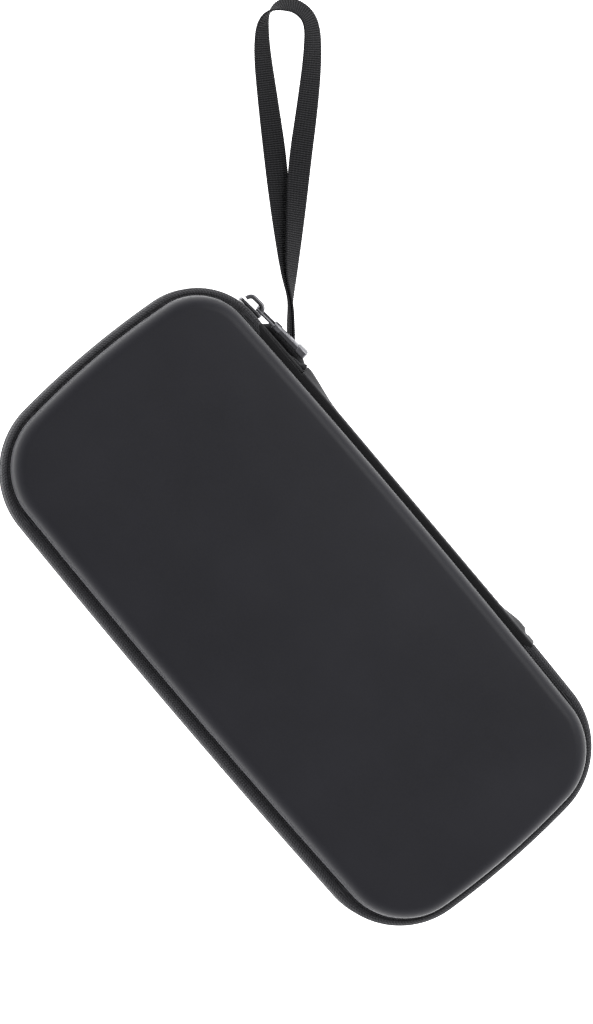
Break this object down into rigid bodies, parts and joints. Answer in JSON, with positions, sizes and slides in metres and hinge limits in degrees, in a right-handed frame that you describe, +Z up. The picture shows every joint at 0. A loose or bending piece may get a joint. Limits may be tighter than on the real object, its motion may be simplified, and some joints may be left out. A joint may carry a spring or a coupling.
{
  "type": "portable game console case",
  "caption": "Zippered soft-shell case for a handheld game console: two moulded halves on a fabric spine, zipper band with slider and pull, wrist strap, an elastic band and net pocket inside.",
  "frame": {"origin": "middle of the base's flat underside", "axes": "+X along the case, away from the slider; +Y towards the fabric spine; +Z up, out of the lid"},
  "size_m": [0.3163, 0.2219, 0.044],
  "materials": {
    "shell_cover": "matte charcoal cover bonded to moulded foam",
    "zipper_tape": "woven black tape",
    "zipper_coil": "black nylon coil",
    "binding": "black sewn binding tape",
    "spine_fabric": "smooth dark grey cover fabric",
    "slider_metal": "gloss black enamel on die-cast metal",
    "webbing": "ribbed black webbing",
    "elastic": "black knitted elastic",
    "net": "black knitted net"
  },
  "bodies": {
    "base": {"base_shell": "shell_cover", "lower_zipper_tape": "zipper_tape", "lower_zipper_coil": "zipper_coil", "lower_rim_binding": "binding", "zipper_end_patch": "zipper_tape", "spine_end_tab": "spine_fabric", "console_strap": "elastic", "console_strap_ends": "elastic", "strap_anchor_tab": "webbing", "wrist_strap": "webbing"},
    "spine": {"spine_strip": "spine_fabric"},
    "lid": {"lid_shell": "shell_cover", "upper_zipper_tape": "zipper_tape", "upper_zipper_coil": "zipper_coil", "upper_rim_binding": "binding", "mesh_pocket": "net", "mesh_pocket_hem": "elastic"},
    "slider": {"slider_body": "slider_metal"},
    "pull": {"pull_tab": "slider_metal"}
  },
  "joints": [
    {"name": "spine_fold", "type": "hinge", "parent": "base", "child": "spine", "pos_m": [0, 0.061, 0.022], "axis": [-1, 0, 0], "range_deg": [0, 90]},
    {"name": "lid_fold", "type": "hinge", "parent": "spine", "child": "lid", "pos_m": [0, 0.061, 0.034], "axis": [-1, 0, 0], "range_deg": [0, 90]},
    {"name": "zip_run", "type": "hinge", "parent": "base", "child": "slider", "pos_m": [-0.0994, 0.03252, 0.028], "axis": [0, 0, 1], "range_deg": [0, 75]},
    {"name": "pull_swing", "type": "hinge", "parent": "slider", "child": "pull", "pos_m": [-0.0998, 0.06466, 0.028], "axis": [0, 0, 1], "range_deg": [0, 150]}
  ],
  "couplings": [
    {"joint": "lid_fold", "follows": "spine_fold", "ratio": 1}
  ]
}
